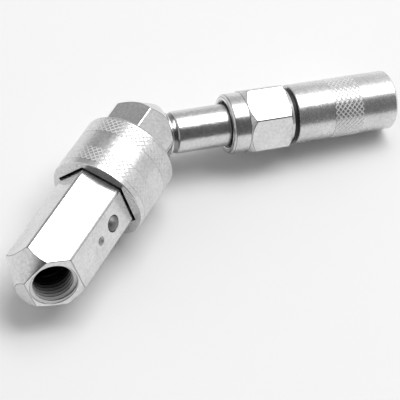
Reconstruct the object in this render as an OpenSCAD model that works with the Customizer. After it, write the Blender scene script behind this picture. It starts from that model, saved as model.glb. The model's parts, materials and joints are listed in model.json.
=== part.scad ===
// Swivel coupler for a grease gun: two 45 degree hex elbows on one bar axis,
// a sprung lock sleeve over the swivel, a stem and a three jaw grease coupler.
// The origin is the centre of the inlet mouth. +X runs along the bar axis
// from the inlet elbow to the head elbow, and +Z leaves the inlet's top flat.

/* [Hex elbows] */
// Width across the flats of the hex bar
bar_af = 15.875; // [15.5:0.025:16.5]
// Height turned off the corners of the hex bar
bar_corner_break = 0.14; // [0.05:0.01:0.3]
// Distance between the two elbow centres along the bar axis
elbow_gap = 40.4; // [40:0.1:44]
// Lean of the inlet and of the stem away from the bar axis, degrees
elbow_lean = 45; // [40:1:48]
// Distance from an elbow centre to its slanted face, along the leaning axis
face_reach = 5.7; // [5.6:0.05:6]
// Start of the end cone past an elbow centre
cone_start = 2.2; // [1.8:0.1:2.6]
// Flat end of the bar past an elbow centre
flat_end = 7.85; // [7.6:0.05:8]
// Head position in steps of the twelve point lock, degrees
head_turn = 30; // [0:30:330]

/* [Inlet] */
// Major diameter of the 1/8-27 pipe thread at the mouth
thread_d = 10.2; // [9.6:0.05:10.4]
// Depth of the threaded hole
thread_depth = 9; // [8:0.25:9.5]
// Diameter of the grease passages
passage_d = 3.2; // [2:0.1:3.4]

/* [Lock sleeve] */
// Distance from the inlet elbow centre to the near face of the sleeve
sleeve_at = 20.7; // [20.5:0.1:21]
// Length of the sleeve
sleeve_len = 15.5; // [15:0.1:16]
// Wall of the sleeve over the corners of its hex bore
sleeve_wall = 1.37; // [1.2:0.01:1.8]
// Edge break on the sleeve's near face
sleeve_edge = 0.12; // [0.1:0.02:0.4]
// Chamfer on the sleeve's far face
sleeve_chamfer = 1; // [0.6:0.1:1.2]
// Depth of the knurled bands below the sleeve and the cap
knurl_depth = 0.2; // [0.1:0.05:0.3]
// Distance from the sleeve's ends to its two knurled bands
knurl_margin = 1.5; // [1.2:0.1:1.8]
// Width of each knurled band on the sleeve
knurl_w = 3.8; // [3:0.1:4.5]
// Clearance across the flats between the sleeve and the hex bars
sleeve_slack = 0.9; // [0.3:0.05:1]
// Depth of the twelve point socket that locks the head
socket_depth = 3.1; // [2.5:0.1:3.2]
// Thickness of the web that the sleeve spring bears on
web_t = 1.2; // [1:0.1:1.4]
// Travel of the sleeve towards the inlet, for freeing the head
sleeve_travel = 3.3; // [2:0.1:3.3]
// Wire diameter of the sleeve spring
sleeve_spring_wire = 0.9; // [0.8:0.05:0.95]

/* [Swivel] */
// Diameter of the head's spigot
spigot_d = 8; // [7.8:0.05:8.2]
// Running clearance on the spigot, on the radius
spigot_slack = 0.05; // [0.02:0.01:0.08]
// Length of the spigot behind the head's rear face
spigot_len = 13.5; // [13:0.1:13.8]
// Diameter of the neck on the inlet elbow
neck_d = 12.5; // [12.2:0.1:12.6]
// Diameter of one race ball
race_ball_d = 2.4; // [2.2:0.05:2.4]
// Number of race balls
race_balls_n = 10; // [6:1:10]
// Clearance of the race balls in their grooves, on the radius
race_slack = 0.03; // [0.02:0.01:0.05]
// Distance from the sleeve's near face to the ball race
race_back = 8.5; // [8.3:0.1:8.7]
// Distance from the sleeve's near face to the spigot's ring groove
ring_groove_back = 0.6; // [0.4:0.1:0.8]
// Depth of the spigot's ring groove, on the radius
ring_groove_depth = 1.45; // [1.35:0.05:1.5]
// Thickness of the thrust washer
washer_t = 0.5; // [0.4:0.05:0.5]

/* [Stop ball] */
// Diameter of the ball that stops the sleeve
stop_ball_d = 4; // [3.8:0.1:4.1]
// Distance from the sleeve's near face to the stop ball
stop_ball_back = 5.9; // [5.6:0.1:6.2]
// Height of the stop ball above the flat
stop_ball_proud = 0.91; // [0.7:0.01:0.95]
// Distance from the sleeve's near face to the punched dimple
dimple_back = 11.1; // [10.5:0.1:11.5]

/* [Stem] */
// Diameter of the stem
stem_d = 9.8; // [9.5:0.05:9.9]
// Diameter of the groove at the stem's root
root_groove_d = 9.1; // [8.8:0.05:9.3]
// Width of the groove at the stem's root
root_groove_w = 2; // [1.6:0.1:2.4]
// Diameter of the bead in that groove
root_bead_d = 9.7; // [9.4:0.05:9.8]
// Width of the bead
root_bead_w = 0.5; // [0.3:0.05:0.6]

/* [Coupler body] */
// Distance from the head elbow centre to the coupler's rear face
coupler_at = 20.5; // [20:0.1:21]
// Length of the stem inside the coupler
stem_seat_len = 7.8; // [7.4:0.1:8]
// Diameter of the rear shoulder
shoulder_d = 14; // [13.8:0.1:14.2]
// Length of the rear shoulder
shoulder_len = 4.1; // [3.5:0.1:4.5]
// Width across the flats of the coupler's hex
coupler_af = 14.3; // [14.1:0.05:14.6]
// Length of the coupler's hex with its chamfer
hex_len = 10.1; // [9.5:0.1:10.8]
// Height turned off the corners of the coupler's hex
hex_corner_break = 0.07; // [0.03:0.01:0.15]
// Turn of the coupler's hex about the stem, degrees
hex_turn = 6; // [0:1:59]
// Gap between the hex and the cap
cap_gap = 2.05; // [1.9:0.05:2.4]
// Diameter of the round collar in that gap
collar_d = 13; // [12.6:0.1:13.4]
// Width of the collar
collar_w = 1.05; // [0.9:0.05:1.1]
// Diameter of the cap's thread on the body
cap_thread_d = 10.8; // [10.6:0.1:11]
// Length of the body inside the cap
cap_thread_len = 10.4; // [10:0.1:10.8]
// Diameter of the piston bore
piston_d = 7.2; // [7:0.1:7.4]
// Length of the piston
piston_len = 4; // [3.8:0.1:4.2]
// Wire diameter of the piston's ring
piston_ring_d = 0.98; // [0.9:0.02:1]
// Diameter of the plunger's rod
plunger_rod_d = 4.6; // [4:0.1:4.8]
// Diameter of the grease hole in the plunger
plunger_hole_d = 1.8; // [1.4:0.1:2]

/* [Cap and jaws] */
// Outside diameter of the cap
cap_d = 14; // [13.8:0.1:14.4]
// Edge break on the cap's rear
cap_edge = 0.15; // [0.1:0.05:0.5]
// Chamfer on the cap's front
cap_chamfer = 0.6; // [0.4:0.1:1.4]
// Width of the rubber ring behind the cap, on the radius
neck_ring_w = 0.75; // [0.6:0.05:0.9]
// Thickness of the rubber ring behind the cap
neck_ring_t = 0.85; // [0.7:0.05:0.9]
// Length of the cap
cap_len = 25.45; // [25:0.05:25.7]
// Distance from the cap's rear to its knurled band
cap_knurl_back = 9.1; // [8.8:0.1:9.3]
// Width of the knurled band on the cap
cap_knurl_w = 7.2; // [6.5:0.1:7.5]
// Diameter of the mouth in the cap's front
mouth_front_d = 8.4; // [8.2:0.1:8.6]
// Diameter of the chamber behind the jaws
chamber_d = 12.2; // [12:0.1:12.3]
// Axial length of the jaw cone in the cap
jaw_cone_len = 6.5; // [6.3:0.1:6.8]
// Thickness of the cap's front lip
lip_t = 1; // [0.8:0.1:1.2]
// Length of one jaw
jaw_len = 4.4; // [4:0.1:4.6]
// Diameter of the ring that the closed jaws grip on
grip_d = 5.5; // [5:0.1:5.8]
// Diameter of the pocket behind the grip, for a fitting's head
pocket_d = 6.8; // [6.6:0.1:7]
// Gap between two jaws
jaw_gap = 0.6; // [0.4:0.1:1]
// Travel of the plunger when a fitting opens the jaws
plunger_travel = 1.9; // [1:0.1:1.9]

/* [Hidden] */
$fn = 96;
fit = 0.03;
run = 0.05;
bar_r = bar_af / 2;
corner_r = bar_af / sqrt(3);
blank_r = corner_r - bar_corner_break;
passage_r = passage_d / 2;
inlet_turn = 240;
stem_turn = inlet_turn + head_turn;
mouth_local = face_reach * [sin(180 - elbow_lean) * cos(inlet_turn),
                            sin(180 - elbow_lean) * sin(inlet_turn),
                            cos(180 - elbow_lean)];
cone_flat_r = corner_r - (flat_end - cone_start);
sleeve_end = sleeve_at + sleeve_len;
near_knurl_at = sleeve_at + knurl_margin;
far_knurl_at = sleeve_end - knurl_margin - knurl_w;
sleeve_bore_af = bar_af + sleeve_slack;
sleeve_r = sleeve_bore_af / sqrt(3) + sleeve_wall;
socket_at = sleeve_end - socket_depth;
web_at = socket_at - web_t;
web_slack = 0.3;
head_rear = socket_at + 0.1;
spigot_r = spigot_d / 2;
spigot_end = head_rear - spigot_len;
bore_r = spigot_r + spigot_slack;
bore_end = spigot_end - 0.5;
neck_r = neck_d / 2;
neck_end = head_rear - washer_t - 0.06;
sleeve_spring_turns = 4.2;
sleeve_spring_r = neck_r + sleeve_spring_wire;
neck_root = web_at - sleeve_travel - sleeve_spring_turns * sleeve_spring_wire - 0.12;
race_at = sleeve_at + race_back;
race_r = race_ball_d / 2;
race_pitch_r = bore_r;
plug_r = race_r + 0.1;
plug_at = race_pitch_r + race_r + 0.05;
ring_groove_at = sleeve_at + ring_groove_back;
ring_groove_w = 2.6;
ring_groove_r = spigot_r - ring_groove_depth;
ring_wire_r = 0.72;
backup_t = 0.9;
stop_r = stop_ball_d / 2;
stop_at = sleeve_at - stop_ball_back;
stop_centre = bar_r + stop_ball_proud - stop_r;
stop_floor = 2.7;
stop_lip_r = 1.86;
stop_spring_r = 1.35;
stop_spring_wire = 0.3;
stop_spring_turns = 3.5;
dimple_at = sleeve_at - dimple_back;
dimple_depth = 0.35;
dimple_ball_r = 1.4;
stem_r = stem_d / 2;
stem_start = -1.5;
stem_end = coupler_at + stem_seat_len;
root_groove_r = root_groove_d / 2;
root_groove_end = face_reach + root_groove_w;
root_bead_at = face_reach + root_groove_w / 5;
socket_bottom = stem_start - 1.5;
shoulder_r = shoulder_d / 2;
hex_at = coupler_at + shoulder_len;
hex_end = hex_at + hex_len;
hex_r = coupler_af / sqrt(3) - hex_corner_break;
hex_chamfer = 0.63;
hex_chamfer_len = 0.5;
shoulder_edge = 0.5;
stem_lead = 0.85;
cap_at = hex_end + cap_gap;
cap_end = cap_at + cap_len;
cap_r = cap_d / 2;
cap_thread_r = cap_thread_d / 2;
body_end = cap_at + cap_thread_len;
collar_end = hex_end + collar_w;
seat_r = 1.3;
seat_len = 2.1;
check_r = 1.6;
seat_at = stem_end + seat_len;
check_spring_r = 1.05;
check_spring_wire = 0.3;
check_spring_turns = 4.5;
check_chamber_r = 2.3;
check_centre = seat_at + sqrt(check_r * check_r - seat_r * seat_r) + 0.02;
piston_bore_at = hex_end + 1.3;
piston_bore_r = piston_d / 2;
retainer_t = 0.8;
retainer_hole_r = 1;
plunger_spring_turns = 3.6;
plunger_spring_wire = 0.5;
plunger_spring_r = piston_bore_r - plunger_spring_wire - run;
piston_at = piston_bore_at + plunger_travel + plunger_spring_turns * plunger_spring_wire + 0.5;
piston_ring_wire_r = piston_ring_d / 2;
piston_ring_r = piston_bore_r - run - piston_ring_wire_r;
piston_groove_r = piston_ring_r - piston_ring_wire_r - 0.02;
piston_ring_at = piston_at + piston_len / 2;
piston_groove_w = piston_ring_d + 0.22;
plunger_rod_r = plunger_rod_d / 2;
plunger_hole_r = plunger_hole_d / 2;
chamber_r = chamber_d / 2;
mouth_front_r = mouth_front_d / 2;
cone_end = cap_end - lip_t;
cone_at = cone_end - jaw_cone_len;
cone_slope = (chamber_r - mouth_front_r) / jaw_cone_len;
jaw_slack = 0.06;
jaw_end = cone_end - 0.1;
jaw_at = jaw_end - jaw_len;
grip_len = 1.2;
flange_t = 1.3;
flange_r = 5;
flange_at = jaw_at - 0.04 - flange_t;
nose_r = 2.9;
nose_seal_t = 1;
nose_seal_end = jaw_at + 1.02 + nose_seal_t;

// Frame of the bar: local +Z is the bar axis, from the inlet elbow's centre
module on_bar() {
  rotate([0, 90, 0]) translate(-mouth_local) children();
}

// Frame of the inlet: local +Z leaves the mouth, from the inlet elbow's centre
module on_inlet() {
  rotate([0, 0, inlet_turn]) rotate([0, 180 - elbow_lean, 0]) children();
}

// Frame of the stem inside the bar frame, from the head elbow's centre
module on_stem() {
  translate([0, 0, elbow_gap]) rotate([0, 0, stem_turn]) rotate([0, elbow_lean, 0]) children();
}

// Frame of a radial hole in the inlet's side flat, at a station on the bar
module on_side_flat(at) {
  translate([0, 0, at]) rotate([0, 0, inlet_turn]) rotate([0, 90, 0]) children();
}

// Hexagonal prism with its flats across af, corners turned by turn degrees
module hex_prism(af, from, to, turn) {
  translate([0, 0, from]) rotate([0, 0, turn]) cylinder(r = af / sqrt(3), h = to - from, $fn = 6);
}

// Straight round bar between two stations
module rod(r, from, to) {
  translate([0, 0, from]) cylinder(r = r, h = to - from);
}

// Round bar whose radius changes from r1 to r2 between two stations
module taper(r1, r2, from, to) {
  translate([0, 0, from]) cylinder(r1 = r1, r2 = r2, h = to - from);
}

// Solid of revolution about local Z from [radius, station] points
module turned(outline) {
  rotate_extrude() polygon(outline);
}

// Ring that cuts a band of a round bar down to radius r
module relief(r, from, to) {
  difference() {
    rod(r + 3, from, to);
    rod(r, from - 1, to + 1);
  }
}

// Ring with a round section
module round_ring(ring_r, wire_r, at) {
  translate([0, 0, at]) rotate_extrude() translate([ring_r, 0]) circle(r = wire_r, $fn = 32);
}

// Distance from a ball's centre to the end of a spring that carries the ball
function perch(ball_r, mean_r, wire_d) =
  sqrt(pow(ball_r + wire_d / 2 + 0.02, 2) - mean_r * mean_r) - wire_d / 2;

// Compression spring with closed end coils
module coil(mean_r, wire_d, turns, from, to) {
  sides = 8;
  steps = 20;
  last = round(turns * steps);
  closed = steps;
  lift = to - from - wire_d;
  dead = min(wire_d * 1.04, lift / turns);
  open = (lift - 2 * dead) / max(last - 2 * closed, 1);
  function rise(i) = i < closed ? dead * i / closed
                   : i > last - closed ? lift - dead * (last - i) / closed
                   : dead + open * (i - closed);
  points = [for (i = [0:last], j = [0:sides - 1])
    let (a = 360 * i / steps, b = 360 * j / sides, r = mean_r + wire_d / 2 * cos(b))
    [r * cos(a), r * sin(a), from + wire_d / 2 + rise(i) + wire_d / 2 * sin(b)]];
  skin = [for (i = [0:last - 1], j = [0:sides - 1])
    let (p = i * sides + j, q = i * sides + (j + 1) % sides)
    each [[p, p + sides, q], [q, p + sides, q + sides]]];
  start = [[for (j = [0:sides - 1]) j]];
  finish = [[for (j = [sides - 1:-1:0]) last * sides + j]];
  polyhedron(points = points, faces = concat(skin, start, finish), convexity = 8);
}

// Hex elbow blank: prism, end cone and slanted face
module elbow_blank(rear, turn) {
  difference() {
    intersection() {
      hex_prism(bar_af, rear, flat_end, turn);
      turned([[0, rear], [blank_r, rear], [blank_r, cone_start + bar_corner_break],
              [cone_flat_r, flat_end], [0, flat_end]]);
    }
    rotate([0, elbow_lean, 0]) rod(4 * corner_r, face_reach, face_reach + 4 * corner_r);
  }
}

module inlet_body() color("silver") on_bar() difference() {
  union() {
    rotate([0, 0, inlet_turn]) rotate([180, 0, 0]) elbow_blank(-neck_root, 30);
    rod(neck_r, neck_root - 0.1, neck_end);
  }
  on_inlet() rod(thread_d / 2, face_reach - thread_depth, face_reach + 1);
  rod(passage_r, 0, bore_end + 0.1);
  rod(bore_r, bore_end, neck_end + 1);
  round_ring(race_pitch_r, race_r + race_slack, race_at);
  translate([0, 0, race_at]) rotate([0, 90, 0]) rod(plug_r, race_pitch_r - 1, neck_r + 1);
  on_side_flat(stop_at) rod(stop_r + 0.05, stop_floor, bar_r - 0.3);
  on_side_flat(stop_at) rod(stop_lip_r, stop_floor, bar_r + 1);
  on_side_flat(dimple_at) translate([0, 0, bar_r + dimple_ball_r - dimple_depth])
    rotate([90, 0, 0]) sphere(r = dimple_ball_r);
}

module stop_ball() color("silver") on_bar() {
  on_side_flat(stop_at) translate([0, 0, stop_centre]) sphere(r = stop_r);
}

module stop_ball_spring() color("dimgray") on_bar() {
  on_side_flat(stop_at) coil(stop_spring_r, stop_spring_wire, stop_spring_turns, stop_floor + 0.02,
                             stop_centre - perch(stop_r, stop_spring_r, stop_spring_wire));
}

module race_balls() color("lightsteelblue") on_bar() {
  for (i = [0:race_balls_n - 1]) rotate([0, 0, 360 * i / race_balls_n])
    translate([race_pitch_r, 0, race_at]) sphere(r = race_r, $fn = 32);
}

module race_plug() color("gray") on_bar() {
  translate([0, 0, race_at]) rotate([0, 90, 0]) rod(plug_r - fit, plug_at, neck_r - 0.1);
}

module thrust_washer() color("goldenrod") on_bar() difference() {
  rod(neck_r - 0.05, neck_end + 0.02, neck_end + 0.02 + washer_t);
  rod(spigot_r + 0.15, neck_end - 1, neck_end + 2);
}

module lock_sleeve() color("gainsboro") on_bar() difference() {
  union() {
    taper(sleeve_r - sleeve_edge, sleeve_r, sleeve_at, sleeve_at + sleeve_edge);
    rod(sleeve_r, sleeve_at + sleeve_edge, sleeve_end - sleeve_chamfer);
    taper(sleeve_r, sleeve_r - sleeve_chamfer, sleeve_end - sleeve_chamfer, sleeve_end);
  }
  relief(sleeve_r - knurl_depth, near_knurl_at, near_knurl_at + knurl_w);
  relief(sleeve_r - knurl_depth, far_knurl_at, far_knurl_at + knurl_w);
  hex_prism(sleeve_bore_af, sleeve_at - 1, web_at, inlet_turn + 30);
  rod(neck_r + web_slack, web_at - 1, socket_at + 1);
  hex_prism(sleeve_bore_af, socket_at, sleeve_end + 1, inlet_turn + 30);
  hex_prism(sleeve_bore_af, socket_at, sleeve_end + 1, inlet_turn);
}

module lock_sleeve_spring() color("dimgray") on_bar() {
  coil(sleeve_spring_r, sleeve_spring_wire, sleeve_spring_turns, neck_root + 0.02, web_at - 0.02);
}

module swivel_head() color("silver") on_bar() difference() {
  union() {
    translate([0, 0, elbow_gap]) rotate([0, 0, stem_turn]) elbow_blank(head_rear - elbow_gap, 30);
    rod(spigot_r, spigot_end, head_rear + 0.1);
  }
  rod(passage_r, spigot_end - 1, elbow_gap);
  round_ring(race_pitch_r, race_r + race_slack, race_at);
  relief(ring_groove_r, ring_groove_at, ring_groove_at + ring_groove_w);
  on_stem() rod(stem_r + fit, socket_bottom, face_reach + 1);
}

module spigot_o_ring() color("black") on_bar() {
  round_ring(ring_groove_r + 0.02 + ring_wire_r, ring_wire_r, ring_groove_at + 0.1 + ring_wire_r);
}

module spigot_backup_ring() color("ivory") on_bar() difference() {
  rod(spigot_r, ring_groove_at + ring_groove_w - 0.05 - backup_t, ring_groove_at + ring_groove_w - 0.05);
  rod(ring_groove_r + fit, ring_groove_at, ring_groove_at + ring_groove_w + 1);
}

module stem() color("silver") on_bar() on_stem() difference() {
  union() {
    rod(stem_r, stem_start, face_reach - 0.1);
    rod(root_groove_r, face_reach - 0.2, root_groove_end);
    rod(root_bead_d / 2, root_bead_at, root_bead_at + root_bead_w);
    taper(root_groove_r, stem_r, root_groove_end, root_groove_end + stem_r - root_groove_r);
    rod(stem_r, root_groove_end + stem_r - root_groove_r, stem_end);
  }
  rod(passage_r, stem_start - 1, stem_end + 1);
}

module coupler_body() color("silver") on_bar() on_stem() difference() {
  union() {
    taper(shoulder_r - shoulder_edge, shoulder_r, coupler_at, coupler_at + shoulder_edge);
    rod(shoulder_r, coupler_at + shoulder_edge, hex_at + shoulder_edge);
    intersection() {
      hex_prism(coupler_af, hex_at, hex_end, hex_turn);
      turned([[0, hex_at], [shoulder_r, hex_at], [hex_r, hex_at + hex_r - shoulder_r],
              [hex_r, hex_end - hex_chamfer_len], [hex_r - hex_chamfer, hex_end], [0, hex_end]]);
    }
    rod(collar_d / 2, hex_end - 0.1, collar_end);
    rod(cap_thread_r, hex_end, body_end);
  }
  rod(stem_r + fit, coupler_at - 1, stem_end + 0.2);
  taper(stem_r + stem_lead, stem_r, coupler_at, coupler_at + stem_lead);
  rod(seat_r, stem_end, seat_at + 0.1);
  rod(check_chamber_r, seat_at, piston_bore_at + 0.1);
  rod(piston_bore_r, piston_bore_at, body_end + 1);
}

module check_ball() color("lightsteelblue") on_bar() on_stem() {
  translate([0, 0, check_centre]) sphere(r = check_r);
}

module check_spring() color("dimgray") on_bar() on_stem() {
  coil(check_spring_r, check_spring_wire, check_spring_turns,
       check_centre + perch(check_r, check_spring_r, check_spring_wire),
       piston_bore_at - retainer_t - 0.04);
}

module check_spring_retainer() color("gray") on_bar() on_stem() difference() {
  rod(check_chamber_r - 0.02, piston_bore_at - retainer_t - 0.02, piston_bore_at - 0.02);
  rod(retainer_hole_r, piston_bore_at - 2, piston_bore_at + 1);
}

module cap_neck_ring() color("black") on_bar() on_stem() difference() {
  rod(cap_thread_r + run + neck_ring_w, cap_at - neck_ring_t - 0.03, cap_at - 0.03);
  rod(cap_thread_r + run, cap_at - 2, cap_at + 1);
}

module jaw_cap() color("silver") on_bar() on_stem() difference() {
  union() {
    taper(cap_r - cap_edge, cap_r, cap_at, cap_at + cap_edge);
    rod(cap_r, cap_at + cap_edge, cap_end - cap_chamfer);
    taper(cap_r, cap_r - cap_chamfer, cap_end - cap_chamfer, cap_end);
  }
  relief(cap_r - knurl_depth, cap_at + cap_knurl_back, cap_at + cap_knurl_back + cap_knurl_w);
  rod(cap_thread_r + run, cap_at - 1, body_end);
  rod(chamber_r, body_end - 0.4, cone_at);
  taper(chamber_r, mouth_front_r, cone_at, cone_end);
  rod(mouth_front_r, cone_end, cap_end + 1);
}

module plunger() color("goldenrod") on_bar() on_stem() difference() {
  union() {
    rod(piston_bore_r - run, piston_at, piston_at + piston_len);
    rod(plunger_rod_r, piston_at + piston_len, flange_at);
    rod(flange_r, flange_at, flange_at + flange_t);
    rod(nose_r, flange_at + flange_t, jaw_at + 1);
  }
  relief(piston_groove_r, piston_ring_at - piston_groove_w / 2, piston_ring_at + piston_groove_w / 2);
  rod(plunger_hole_r, piston_at - 1, cap_end);
}

module plunger_seal() color("black") on_bar() on_stem() {
  round_ring(piston_ring_r, piston_ring_wire_r, piston_ring_at);
}

module nose_seal() color("black") on_bar() on_stem() difference() {
  rod(nose_r, nose_seal_end - nose_seal_t, nose_seal_end);
  rod(plunger_hole_r, jaw_at, jaw_at + 3);
  taper(plunger_hole_r, plunger_hole_r + 0.8, nose_seal_end - 0.6, nose_seal_end + 0.02);
}

module plunger_spring() color("dimgray") on_bar() on_stem() {
  coil(plunger_spring_r, plunger_spring_wire, plunger_spring_turns, piston_bore_at + 0.02, piston_at - 0.02);
}

// One of three jaws, cut from a coned ring
module jaw(number) on_bar() on_stem() rotate([0, 0, 120 * number]) intersection() {
  difference() {
    taper(mouth_front_r + (cone_end - jaw_at) * cone_slope - jaw_slack,
          mouth_front_r + (cone_end - jaw_end) * cone_slope - jaw_slack, jaw_at, jaw_end);
    rod(pocket_d / 2, jaw_at - 1, jaw_end - grip_len);
    taper(pocket_d / 2, grip_d / 2, jaw_end - grip_len - 0.001, jaw_end - grip_len / 2);
    rod(grip_d / 2, jaw_end - grip_len, jaw_end + 1);
  }
  translate([jaw_gap / 2 / sin(60), 0, jaw_at - 1]) linear_extrude(jaw_len + 2)
    polygon([[0, 0], [10, -10 * tan(60)], [20, 0], [10, 10 * tan(60)]]);
}

module jaw_1() color("lightsteelblue") jaw(0);
module jaw_2() color("lightsteelblue") jaw(1);
module jaw_3() color("lightsteelblue") jaw(2);

inlet_body();
stop_ball();
stop_ball_spring();
race_balls();
race_plug();
thrust_washer();
lock_sleeve();
lock_sleeve_spring();
swivel_head();
spigot_o_ring();
spigot_backup_ring();
stem();
coupler_body();
check_ball();
check_spring();
check_spring_retainer();
cap_neck_ring();
jaw_cap();
plunger();
plunger_seal();
nose_seal();
plunger_spring();
jaw_1();
jaw_2();
jaw_3();
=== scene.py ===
import json
import math

import bpy
from mathutils import Matrix, Vector

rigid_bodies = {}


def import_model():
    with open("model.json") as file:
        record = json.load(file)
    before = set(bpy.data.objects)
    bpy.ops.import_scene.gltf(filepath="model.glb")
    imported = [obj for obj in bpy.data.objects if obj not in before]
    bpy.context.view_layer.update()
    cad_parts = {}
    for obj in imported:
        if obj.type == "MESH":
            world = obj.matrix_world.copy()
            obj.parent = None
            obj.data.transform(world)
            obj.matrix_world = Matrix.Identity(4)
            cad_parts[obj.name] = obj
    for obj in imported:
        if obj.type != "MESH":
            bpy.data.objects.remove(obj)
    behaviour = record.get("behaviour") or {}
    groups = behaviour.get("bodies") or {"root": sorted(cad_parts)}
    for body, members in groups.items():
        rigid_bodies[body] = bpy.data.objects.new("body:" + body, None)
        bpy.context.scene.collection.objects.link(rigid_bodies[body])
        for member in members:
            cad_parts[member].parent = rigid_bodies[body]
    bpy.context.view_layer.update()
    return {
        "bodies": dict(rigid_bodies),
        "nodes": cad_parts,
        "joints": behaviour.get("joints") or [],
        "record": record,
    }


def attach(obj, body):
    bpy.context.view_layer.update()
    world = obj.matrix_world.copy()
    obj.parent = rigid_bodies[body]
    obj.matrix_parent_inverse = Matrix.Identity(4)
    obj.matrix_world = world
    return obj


MM = 0.001

# The two axes of the part, in millimetres of the row frame
BAR_POINT = Vector((0, 3.4905, -2.0153))
BAR_DIR = Vector((1, 0, 0))
HEAD_POINT = Vector((44.4305, 3.4905, -2.0153))
STEM_DIR = Vector((1, -1, 0)).normalized()
MOUTH_POINT = Vector((0, 0, 0))
MOUTH_DIR = Vector((-0.70710678, -0.61237244, 0.35355339))
BAR_LINE = (BAR_POINT, BAR_DIR)
STEM_LINE = (HEAD_POINT, STEM_DIR)

# Recesses that take painted shade: the middle of each opening and its way out
MOUTH = (MOUTH_POINT, MOUTH_DIR)
STEM_SEAT = (HEAD_POINT + STEM_DIR * 20.5, -STEM_DIR)
ROOT_GROOVE = (HEAD_POINT + STEM_DIR * 7.9, STEM_DIR)
DIMPLE = (Vector((13.63, -3.3835, 1.9535)), Vector((0, -0.8660254, 0.5)))

# Rest plane: the sleeve lies along its length and the cap's front edge touches
REST_TILT = math.atan(0.09345 / 0.99562)
REST_POINT = Vector((25.13, 2.455, -13.042))

# The camera of the photograph
FOCUS_POINT = Vector((24.7305, 3.4905, -2.0153))
FOCUS_PIXEL = (97.078, 198.871)
CAMERA_DISTANCE = 300
CAMERA_AZIMUTH = math.radians(12.0)
CAMERA_DROP = math.radians(55.93)
CAMERA_ROLL = math.radians(18.4)
PIXELS_PER_MM = 4.562
IMAGE_SIDE = 400
SENSOR = 36

# Knurled bands: where each starts along its axis, its length and the size of a diamond
SLEEVE_R = 11.055
SLEEVE_BANDS = (26.23, 34.93)
SLEEVE_BAND_LEN = 3.8
CAP_R = 7.0
CAP_BAND = 45.85
CAP_BAND_LEN = 7.2
KNURL_PITCH = 1.27
SLEEVE_KNURL_DEPTH = 0.03
CAP_KNURL_DEPTH = 0.05
KNURL_PROUD = 0.02
KNURL_FLAT = 0.75

# Brightness of the room, and the ways from the part to its two darker patches
ROOM_LEVEL = 0.78
CAMERA_SIDE = (-0.6275, -0.4394, 0.6428)
FAR_SIDE = (0.558, 0.714, 0.4226)

# Thread of the inlet hole
HOLE_R = 5.1
HOLE_DEPTH = 9
THREAD_CREST_R = 4.45
THREAD_PITCH = 0.94
THREAD_START = 0.35
THREAD_END = 8.5
THREAD_STEPS = 72
THREAD_FADE_STEPS = THREAD_STEPS * 0.4
THREAD_HALF_ROOT = 0.38 * THREAD_PITCH
THREAD_HALF_CREST = 0.1 * THREAD_PITCH

# Scales of the noises in the finishes, per metre
CLOUD_SCALE = 160
FLECK_SCALE = 1500
POLISH_SCALE = 420
SKIN_SCALE = 1300
TURNING_SCALE = 2200
PAPER_SCALE = 3

# Height of the bumps in the finishes, in metres
GRAIN_HEIGHT = 0.00002
TURNING_HEIGHT = 0.000012

# The floor and the lamp, in metres, and the lamp's power in watts
FLOOR_HALF = 3.0
LAMP_AIM = Vector((0.04, -0.01, 0))
PANEL_WAY = (0.37, -0.03, 0.925)
PANEL_DISTANCE = 1.4
PANEL_SIZE = (1.15, 0.7)
PANEL_POWER = 12.2


def grey(level):
    return (level, level, level)


# Tones and roughness of the bright plate
PLATE_TONES = (grey(0.57), grey(0.83))
SLEEVE_TONES = (grey(0.58), grey(0.85))
STEM_TONES = (grey(0.56), grey(0.82))
PLATE_ROUGH = (0.2, 0.27)


def axis_frame(point, direction):
    """Matrix from an axis frame, its z along direction, to the row frame, in metres."""
    turn = direction.to_track_quat("Z", "Y").to_matrix().to_4x4()
    return Matrix.Translation(point * MM) @ turn @ Matrix.Scale(MM, 4)


def mesh_piece(name, points, faces, frame, body, material, smooth=False):
    """A piece built from points in millimetres of its axis frame, riding on a body."""
    mesh = bpy.data.meshes.new(name)
    mesh.from_pydata([frame @ Vector(p) for p in points], [], faces)
    for face in mesh.polygons:
        face.use_smooth = smooth
    mesh.materials.append(material)
    piece = bpy.data.objects.new(name, mesh)
    bpy.context.scene.collection.objects.link(piece)
    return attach(piece, body)


def polar(radius, angle, along):
    return (radius * math.cos(angle), radius * math.sin(angle), along)


def knurl(name, frame, radius, start, length, depth, body, material, groove):
    """Crossed rows of cut-off diamonds round a drum, with a finish of their own in the grooves."""
    around = 2 * round(2 * math.pi * radius / KNURL_PITCH)
    along = 2 * round(length / KNURL_PITCH)
    points, faces, grooves, crossings = [], [], [], {}

    def place(i, j, height):
        points.append(polar(radius + height, 2 * math.pi * i / around, start + length * j / along))
        return len(points) - 1

    def crossing(i, j):
        key = (i % around, j)
        if key not in crossings:
            crossings[key] = place(*key, -depth)
        return crossings[key]

    for j in range(along + 1):
        for i in range((j + 1) % 2, around, 2):
            steps = [s for s in ((1, 0), (0, 1), (-1, 0), (0, -1)) if 0 <= j + s[1] <= along]
            lows = [crossing(i + di, j + dj) for di, dj in steps]
            tops = [place(i + di * KNURL_FLAT, j + dj * KNURL_FLAT, KNURL_PROUD)
                    for di, dj in steps]
            faces.append(tops)
            for k, low in enumerate(lows):
                grooves.append(len(faces))
                faces.append([lows[k - 1], low, tops[k], tops[k - 1]])
    band = mesh_piece(name, points, faces, frame, body, material)
    band.data.materials.append(groove)
    for k in grooves:
        band.data.polygons[k].material_index = 1
    return band


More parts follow.
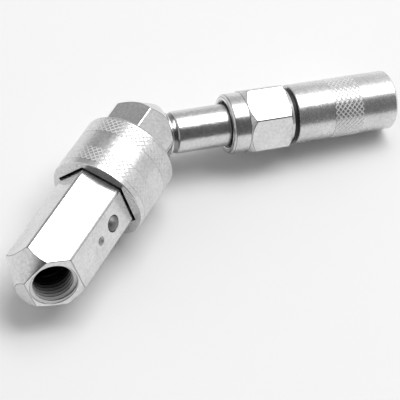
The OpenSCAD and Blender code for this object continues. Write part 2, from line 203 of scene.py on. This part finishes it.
def thread_ridge(name, frame, root, crest, start, end, body, dull, bright):
    """One helical ridge that stands from root to crest and runs out at both ends, with painted
    shade on its crest and deeper flank and a painted highlight on the flank that faces the mouth.
    """
    count = int((end - start) / THREAD_PITCH * THREAD_STEPS)
    points, faces = [], []
    for i in range(count + 1):
        angle = -2 * math.pi * i / THREAD_STEPS
        fade = min(1, i / THREAD_FADE_STEPS, (count - i) / THREAD_FADE_STEPS)
        tip = root + (crest - root) * fade
        z = -(start + (end - start) * i / count)
        outline = [
            polar(root, angle, z + THREAD_HALF_ROOT), polar(tip, angle, z + THREAD_HALF_CREST),
            polar(tip, angle, z - THREAD_HALF_CREST), polar(root, angle, z - THREAD_HALF_ROOT),
        ]
        for flank in range(3):
            points += outline[flank:flank + 2]
        if i:
            for flank in range(3):
                a = 6 * i + 2 * flank
                faces.append([a - 6, a - 5, a + 1, a])
    ridge = mesh_piece(name, points, faces, frame, body, dull, smooth=True)
    ridge.data.materials.append(bright)
    for face in ridge.data.polygons:
        face.material_index = 1 if face.index % 3 == 0 else 0
    return ridge


def shader(name):
    """A material with its node tree, its Principled shader and an object-coordinate socket."""
    material = bpy.data.materials.new(name)
    material.use_nodes = True
    tree = material.node_tree
    bsdf = tree.nodes["Principled BSDF"]
    place = tree.nodes.new("ShaderNodeTexCoord")
    return material, tree, bsdf, place.outputs["Object"]


def noise(tree, where, scale, detail=3.0):
    node = tree.nodes.new("ShaderNodeTexNoise")
    node.inputs["Scale"].default_value = scale
    node.inputs["Detail"].default_value = detail
    tree.links.new(where, node.inputs["Vector"])
    return node.outputs["Fac"]


def clouds(tree, where):
    """Broad clouds with finer flecks in them."""
    broad = times(tree, noise(tree, where, CLOUD_SCALE), 0.4)
    return combine(tree, "ADD", broad, times(tree, noise(tree, where, FLECK_SCALE, 4), 0.6))


def spread(tree, value, low, high):
    """A value mapped from the middle of a noise to low..high."""
    node = tree.nodes.new("ShaderNodeMapRange")
    node.inputs["From Min"].default_value = 0.3
    node.inputs["From Max"].default_value = 0.7
    node.inputs["To Min"].default_value = low
    node.inputs["To Max"].default_value = high
    tree.links.new(value, node.inputs["Value"])
    return node.outputs["Result"]


def two_tone(tree, value, dark, light):
    node = tree.nodes.new("ShaderNodeMix")
    node.data_type = "RGBA"
    node.inputs[6].default_value = (*dark, 1)
    node.inputs[7].default_value = (*light, 1)
    tree.links.new(spread(tree, value, 0, 1), node.inputs[0])
    return node.outputs[2]


def bump(tree, bsdf, height, strength, distance):
    node = tree.nodes.new("ShaderNodeBump")
    node.inputs["Strength"].default_value = strength
    node.inputs["Distance"].default_value = distance
    tree.links.new(height, node.inputs["Height"])
    tree.links.new(node.outputs["Normal"], bsdf.inputs["Normal"])


def from_axis(tree, where, point, direction):
    """How far a place lies along an axis and away from it; the point is in millimetres."""
    offset = tree.nodes.new("ShaderNodeVectorMath")
    offset.operation = "SUBTRACT"
    offset.inputs[1].default_value = point * MM
    tree.links.new(where, offset.inputs[0])
    along = tree.nodes.new("ShaderNodeVectorMath")
    along.operation = "DOT_PRODUCT"
    along.inputs[1].default_value = direction
    tree.links.new(offset.outputs["Vector"], along.inputs[0])
    across = tree.nodes.new("ShaderNodeVectorMath")
    across.operation = "CROSS_PRODUCT"
    across.inputs[1].default_value = direction
    tree.links.new(offset.outputs["Vector"], across.inputs[0])
    away = tree.nodes.new("ShaderNodeVectorMath")
    away.operation = "LENGTH"
    tree.links.new(across.outputs["Vector"], away.inputs[0])
    return along.outputs["Value"], away.outputs["Value"]


def rings(tree, along, scale):
    """Noise that changes only along an axis, like the marks of turning."""
    node = tree.nodes.new("ShaderNodeTexNoise")
    node.noise_dimensions = "1D"
    node.inputs["Scale"].default_value = scale
    node.inputs["Detail"].default_value = 3
    tree.links.new(along, node.inputs["W"])
    return node.outputs["Fac"]


def ramp(tree, value, start, end, low, high):
    """A smooth step from low at start to high at end."""
    node = tree.nodes.new("ShaderNodeMapRange")
    node.interpolation_type = "SMOOTHSTEP"
    node.inputs["From Min"].default_value = start
    node.inputs["From Max"].default_value = end
    node.inputs["To Min"].default_value = low
    node.inputs["To Max"].default_value = high
    tree.links.new(value, node.inputs["Value"])
    return node.outputs["Result"]


def combine(tree, operation, first, second):
    node = tree.nodes.new("ShaderNodeMath")
    node.operation = operation
    tree.links.new(first, node.inputs[0])
    tree.links.new(second, node.inputs[1])
    return node.outputs["Value"]


def times(tree, value, factor):
    node = tree.nodes.new("ShaderNodeMath")
    node.operation = "MULTIPLY"
    node.inputs[1].default_value = factor
    tree.links.new(value, node.inputs[0])
    return node.outputs["Value"]


def metal(name, dark, light, rough, grain, strength):
    """Metal with a mottled colour, uneven polish and a fine grain."""
    material, tree, bsdf, where = shader(name)
    bsdf.inputs["Metallic"].default_value = 1
    tree.links.new(two_tone(tree, clouds(tree, where), dark, light), bsdf.inputs["Base Color"])
    polish = noise(tree, where, POLISH_SCALE, 5)
    tree.links.new(spread(tree, polish, *rough), bsdf.inputs["Roughness"])
    bump(tree, bsdf, noise(tree, where, grain, 4), strength, GRAIN_HEIGHT)
    return material


def turned_metal(name, line, tones, rough, turning, mottle, film=0):
    """Bright plate over fine turning marks round an axis and a mottled skin, with a dull film."""
    material, tree, bsdf, where = shader(name)
    bsdf.inputs["Metallic"].default_value = 1 - film
    along, _ = from_axis(tree, where, *line)
    marks = rings(tree, along, TURNING_SCALE)
    tree.links.new(two_tone(tree, clouds(tree, where), *tones), bsdf.inputs["Base Color"])
    tree.links.new(spread(tree, clouds(tree, where), *rough), bsdf.inputs["Roughness"])
    skin = times(tree, noise(tree, where, SKIN_SCALE, 2), mottle)
    relief = combine(tree, "ADD", times(tree, marks, turning), skin)
    bump(tree, bsdf, relief, 0.5, TURNING_HEIGHT)
    return material


def paint_recess_shade(material, place, radius, fade, depth, level):
    """Paints shade into a recess: takes the colour down to a grey level inside it, over fade
    millimetres of depth.
    """
    tree = material.node_tree
    bsdf = tree.nodes["Principled BSDF"]
    where = tree.nodes["Texture Coordinate"].outputs["Object"]
    along, away = from_axis(tree, where, *place)
    within = ramp(tree, away, (radius + 0.1) * MM, (radius + 0.03) * MM, 0, 1)
    sunk = ramp(tree, along, -fade[0] * MM, -fade[1] * MM, 0, 1)
    above = ramp(tree, along, -(depth + 0.4) * MM, -(depth + 0.2) * MM, 0, 1)
    amount = combine(tree, "MULTIPLY", within, combine(tree, "MULTIPLY", sunk, above))
    mix = tree.nodes.new("ShaderNodeMix")
    mix.data_type = "RGBA"
    tree.links.new(amount, mix.inputs[0])
    tree.links.new(bsdf.inputs["Base Color"].links[0].from_socket, mix.inputs[6])
    mix.inputs[7].default_value = (*grey(level), 1)
    tree.links.new(mix.outputs[2], bsdf.inputs["Base Color"])
    return material


def coated(material, metallic):
    """Takes the metal out of a finish, in part or whole."""
    material.node_tree.nodes["Principled BSDF"].inputs["Metallic"].default_value = metallic
    return material


def dull_metal(name, levels, film):
    """Pale plate that has gone dull under a film, as in the grooves of a knurl; the same pale
    finish on one flank of the thread is a painted highlight.
    """
    plate = metal(name, grey(levels[0]), grey(levels[1]), (0.4, 0.5), 1800, 0.5)
    return coated(plate, 1 - film)


def recessed_finishes():
    """Finishes with painted shade inside the inlet hole, the dimple, the coupler's bore, the stem's
    root groove and the thread, and a painted highlight on one flank of the thread.
    """
    plate = metal("plated_steel", *PLATE_TONES, PLATE_ROUGH, 2600, 0.25)
    # Painted shade: the inlet hole's wall goes nearly black with depth, and the dimple goes darker
    # in its middle.
    plate = paint_recess_shade(plate, MOUTH, HOLE_R, (0.3, 1.5), HOLE_DEPTH, 0.06)
    plate = paint_recess_shade(plate, DIMPLE, 0.75, (0.02, 0.2), 0.5, 0.3)
    # Painted shade and painted highlight on the thread: a dark crest and deeper flank, a pale flank
    # facing the mouth, all darker with depth.
    dull = metal("thread_painted_shade_steel", grey(0.2), grey(0.3), (0.24, 0.34), 2600, 0.25)
    dull = paint_recess_shade(dull, MOUTH, HOLE_R, (1, 5), HOLE_DEPTH, 0.03)
    bright = dull_metal("thread_painted_highlight_steel", (0.85, 0.98), 0.85)
    bright = paint_recess_shade(bright, MOUTH, HOLE_R, (3, 6.5), HOLE_DEPTH, 0.02)
    coupler = turned_metal("coupler_plated_steel", STEM_LINE, PLATE_TONES, (0.21, 0.25), 0.6, 1)
    # Painted shade in the lead-in of the coupler's bore round the stem, nearly black.
    coupler = paint_recess_shade(coupler, STEM_SEAT, 5.55, (0.03, 0.25), 2, 0.05)
    stem = turned_metal("stem_plated_steel", STEM_LINE, STEM_TONES, (0.22, 0.27), 1.2, 7)
    # Painted shade on the floor of the stem's root groove.
    stem = paint_recess_shade(stem, ROOT_GROOVE, 4.6, (0, 0.15), 2, 0.27)
    return {"plate": plate, "thread_painted_shade": dull, "thread_painted_highlight": bright, "coupler": coupler,
            "stem": stem}


def plain(name, dark, light, rough, grain, strength):
    """Rubber or plastic with a fine grain."""
    return coated(metal(name, dark, light, rough, grain, strength), 0)


def finishes():
    looks = recessed_finishes()
    looks.update({
        "cap": turned_metal("cap_plated_steel", STEM_LINE, PLATE_TONES, (0.25, 0.29), 0.15, 0.6,
                            film=0.1),
        "sleeve": turned_metal("sleeve_plated_steel", BAR_LINE, SLEEVE_TONES, (0.26, 0.32), 0.6, 7),
        "cap_groove": dull_metal("cap_knurl_groove", (0.72, 0.9), 0.5),
        "sleeve_groove": dull_metal("sleeve_knurl_groove", (0.66, 0.86), 0.3),
        # Painted shade: a dark finish for the hex parts' rounded edges, standing in for the dark
        # reflections along them.
        "edge": metal("painted_shade_edge", grey(0.3), grey(0.42), (0.25, 0.36), 2600, 0.25),
        "ball": metal("polished_ball", grey(0.60), grey(0.66), (0.08, 0.14), 3000, 0.1),
        "stop": metal("dark_ball", grey(0.16), grey(0.32), (0.5, 0.68), 1500, 0.5),
        "spring": metal("spring_wire", grey(0.45), grey(0.56), (0.22, 0.32), 3000, 0.3),
        "hard": metal("hardened_steel", grey(0.30), grey(0.38), (0.25, 0.34), 2500, 0.3),
        "bronze": metal("bronze", (0.55, 0.33, 0.14), (0.66, 0.42, 0.2), (0.25, 0.36), 2400, 0.3),
        "rubber": plain("black_rubber", grey(0.012), grey(0.024), (0.45, 0.6), 2200, 0.4),
        "ptfe": plain("white_ptfe", grey(0.72), grey(0.8), (0.35, 0.45), 2000, 0.15),
    })
    return looks


# Which finish each CAD node takes, the width of its broken edges in millimetres, the nodes whose
# broken edges take a dark finish, painted shade in place of the dark reflections along a rounded
# edge, and what counts as a split corner, a flat and an edge
NODE_FINISH = {
    "plate": ["inlet_body", "swivel_head", "race_plug", "check_spring_retainer"],
    "stem": ["stem"],
    "coupler": ["coupler_body"],
    "cap": ["jaw_cap"],
    "sleeve": ["lock_sleeve"],
    "ball": ["race_balls", "check_ball"],
    "stop": ["stop_ball"],
    "spring": ["stop_ball_spring", "lock_sleeve_spring", "check_spring", "plunger_spring"],
    "hard": ["plunger", "jaw_1", "jaw_2", "jaw_3"],
    "bronze": ["thrust_washer"],
    "rubber": ["spigot_o_ring", "cap_neck_ring", "plunger_seal", "nose_seal"],
    "ptfe": ["spigot_backup_ring"],
}
EDGE_WIDTH = {
    "inlet_body": 0.12, "swivel_head": 0.12, "lock_sleeve": 0.08, "stem": 0.08,
    "coupler_body": 0.1, "jaw_cap": 0.08,
}
HEX_NODES = ("inlet_body", "swivel_head", "coupler_body")
WELD_REACH = 0.000002
FLAT_ANGLE = math.radians(1)
EDGE_ANGLE = math.radians(16)


def soften(node, width, edge):
    """Joins the node's split corners and rounds its sharp edges, which take their own finish."""
    node.data.materials.append(edge)
    weld = node.modifiers.new("weld", "WELD")
    weld.merge_threshold = WELD_REACH
    flat = node.modifiers.new("flat", "DECIMATE")
    flat.decimate_type = "DISSOLVE"
    flat.angle_limit = FLAT_ANGLE
    flat.delimit = set()
    bevel = node.modifiers.new("bevel", "BEVEL")
    bevel.width = width * MM
    bevel.segments = 2
    bevel.material = 1
    bevel.use_clamp_overlap = False
    bevel.limit_method = "ANGLE"
    bevel.angle_limit = EDGE_ANGLE
    bevel.miter_outer = "MITER_ARC"
    normals = node.modifiers.new("normals", "WEIGHTED_NORMAL")
    normals.mode = "FACE_AREA"
    normals.weight = 100


def dress_nodes(nodes, looks):
    for look, names in NODE_FINISH.items():
        for name in names:
            nodes[name].data.materials.clear()
            nodes[name].data.materials.append(looks[look])
    for name, width in EDGE_WIDTH.items():
        own = nodes[name].data.materials[0]
        # The hex nodes' rounded edges take the dark edge finish, painted shade; the rest keep their
        # own.
        soften(nodes[name], width, looks["edge"] if name in HEX_NODES else own)


def make_camera():
    """The photograph's camera: its focus point lands on its pixel, with no shift."""
    view = Vector((
        math.cos(CAMERA_DROP) * math.cos(CAMERA_AZIMUTH),
        math.cos(CAMERA_DROP) * math.sin(CAMERA_AZIMUTH),
        -math.sin(CAMERA_DROP),
    ))
    level = view.cross(Vector((0, 0, 1))).normalized()
    above = level.cross(view)
    right = level * math.cos(CAMERA_ROLL) + above * math.sin(CAMERA_ROLL)
    up = right.cross(view)
    offset_x = (FOCUS_PIXEL[0] - IMAGE_SIDE / 2) / PIXELS_PER_MM
    offset_y = (IMAGE_SIDE / 2 - FOCUS_PIXEL[1]) / PIXELS_PER_MM
    eye = FOCUS_POINT - view * CAMERA_DISTANCE - right * offset_x - up * offset_y
    data = bpy.data.cameras.new("camera")
    data.sensor_width = SENSOR
    data.lens = SENSOR * CAMERA_DISTANCE * PIXELS_PER_MM / IMAGE_SIDE
    data.clip_start = 0.01
    data.clip_end = 20
    camera = bpy.data.objects.new("camera", data)
    bpy.context.scene.collection.objects.link(camera)
    turn = Matrix((right, up, -view)).transposed().to_4x4()
    camera.matrix_world = Matrix.Translation(eye * MM) @ turn
    bpy.context.scene.camera = camera


def one_sided(tree, bsdf):
    """Lets a view from below look through a surface."""
    facing = tree.nodes.new("ShaderNodeNewGeometry")
    clear = tree.nodes.new("ShaderNodeBsdfTransparent")
    mix = tree.nodes.new("ShaderNodeMixShader")
    tree.links.new(facing.outputs["Backfacing"], mix.inputs[0])
    tree.links.new(bsdf.outputs["BSDF"], mix.inputs[1])
    tree.links.new(clear.outputs["BSDF"], mix.inputs[2])
    tree.links.new(mix.outputs["Shader"], tree.nodes["Material Output"].inputs["Surface"])


def make_floor():
    """A wide pale floor at the plane that the part rests on."""
    material, tree, bsdf, where = shader("floor_paper")
    tone = two_tone(tree, noise(tree, where, PAPER_SCALE), grey(0.95), grey(0.965))
    tree.links.new(tone, bsdf.inputs["Base Color"])
    bsdf.inputs["Roughness"].default_value = 0.9
    bsdf.inputs["Specular IOR Level"].default_value = 0.1
    one_sided(tree, bsdf)
    up = Vector((0, math.sin(REST_TILT), math.cos(REST_TILT)))
    frame = Matrix.Translation(REST_POINT * MM) @ up.to_track_quat("Z", "Y").to_matrix().to_4x4()
    corners = [Vector((x, y, 0)) * FLOOR_HALF for x, y in ((-1, -1), (1, -1), (1, 1), (-1, 1))]
    mesh = bpy.data.meshes.new("floor")
    mesh.from_pydata([frame @ corner for corner in corners], [], [(0, 1, 2, 3)])
    mesh.materials.append(material)
    floor = bpy.data.objects.new("floor", mesh)
    bpy.context.scene.collection.objects.link(floor)


def area_lamp(name, direction, distance, size, power):
    """A soft panel that looks at the part from a direction, with its size in metres."""
    data = bpy.data.lights.new(name, "AREA")
    data.shape = "RECTANGLE"
    data.size = size[0]
    data.size_y = size[1]
    data.energy = power
    lamp = bpy.data.objects.new(name, data)
    bpy.context.scene.collection.objects.link(lamp)
    away = Vector(direction).normalized()
    turn = away.to_track_quat("Z", "Y").to_matrix().to_4x4()
    lamp.matrix_world = Matrix.Translation(LAMP_AIM + away * distance) @ turn


def zone(tree, place, direction, start, end, depth):
    """A soft patch of the room round a direction, from nothing at start to depth at end."""
    node = tree.nodes.new("ShaderNodeVectorMath")
    node.operation = "DOT_PRODUCT"
    node.inputs[1].default_value = direction
    tree.links.new(place, node.inputs[0])
    return ramp(tree, node.outputs["Value"], start, end, 0, depth)


def make_light():
    """A broad panel above and behind, and a room that is darker where the camera stands."""
    area_lamp("panel", PANEL_WAY, PANEL_DISTANCE, PANEL_SIZE, PANEL_POWER)
    world = bpy.data.worlds.new("room")
    bpy.context.scene.world = world
    world.use_nodes = True
    tree = world.node_tree
    back = tree.nodes["Background"]
    place = tree.nodes.new("ShaderNodeTexCoord").outputs["Generated"]
    camera_side = zone(tree, place, CAMERA_SIDE, 0.35, 0.78, 0.67)
    far_side = zone(tree, place, FAR_SIDE, 0.8, 0.98, 0.38)
    level = tree.nodes.new("ShaderNodeMath")
    level.operation = "SUBTRACT"
    level.inputs[0].default_value = ROOM_LEVEL
    tree.links.new(combine(tree, "ADD", camera_side, far_side), level.inputs[1])
    seen = tree.nodes.new("ShaderNodeLightPath")
    white = tree.nodes.new("ShaderNodeMix")
    white.data_type = "FLOAT"
    tree.links.new(seen.outputs["Is Camera Ray"], white.inputs[0])
    tree.links.new(level.outputs["Value"], white.inputs[2])
    white.inputs[3].default_value = 1
    tree.links.new(white.outputs[0], back.inputs["Strength"])
    back.inputs["Color"].default_value = (1, 1, 1, 1)


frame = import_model()
looks = finishes()
dress_nodes(frame["nodes"], looks)
bar = axis_frame(BAR_POINT, BAR_DIR)
stem_line = axis_frame(HEAD_POINT, STEM_DIR)
mouth = axis_frame(MOUTH_POINT, MOUTH_DIR)
for side, start in zip(("near", "far"), SLEEVE_BANDS):
    knurl(f"sleeve_knurl_{side}", bar, SLEEVE_R, start, SLEEVE_BAND_LEN, SLEEVE_KNURL_DEPTH,
          "sleeve", looks["sleeve"], looks["sleeve_groove"])
knurl("cap_knurl", stem_line, CAP_R, CAP_BAND, CAP_BAND_LEN, CAP_KNURL_DEPTH, "cap", looks["cap"],
      looks["cap_groove"])
thread_ridge("inlet_thread_ridge", mouth, HOLE_R + 0.02, THREAD_CREST_R, THREAD_START,
             THREAD_END, "inlet", looks["thread_painted_shade"], looks["thread_painted_highlight"])
make_camera()
make_floor()
make_light()
bpy.context.scene.view_settings.view_transform = "Standard"
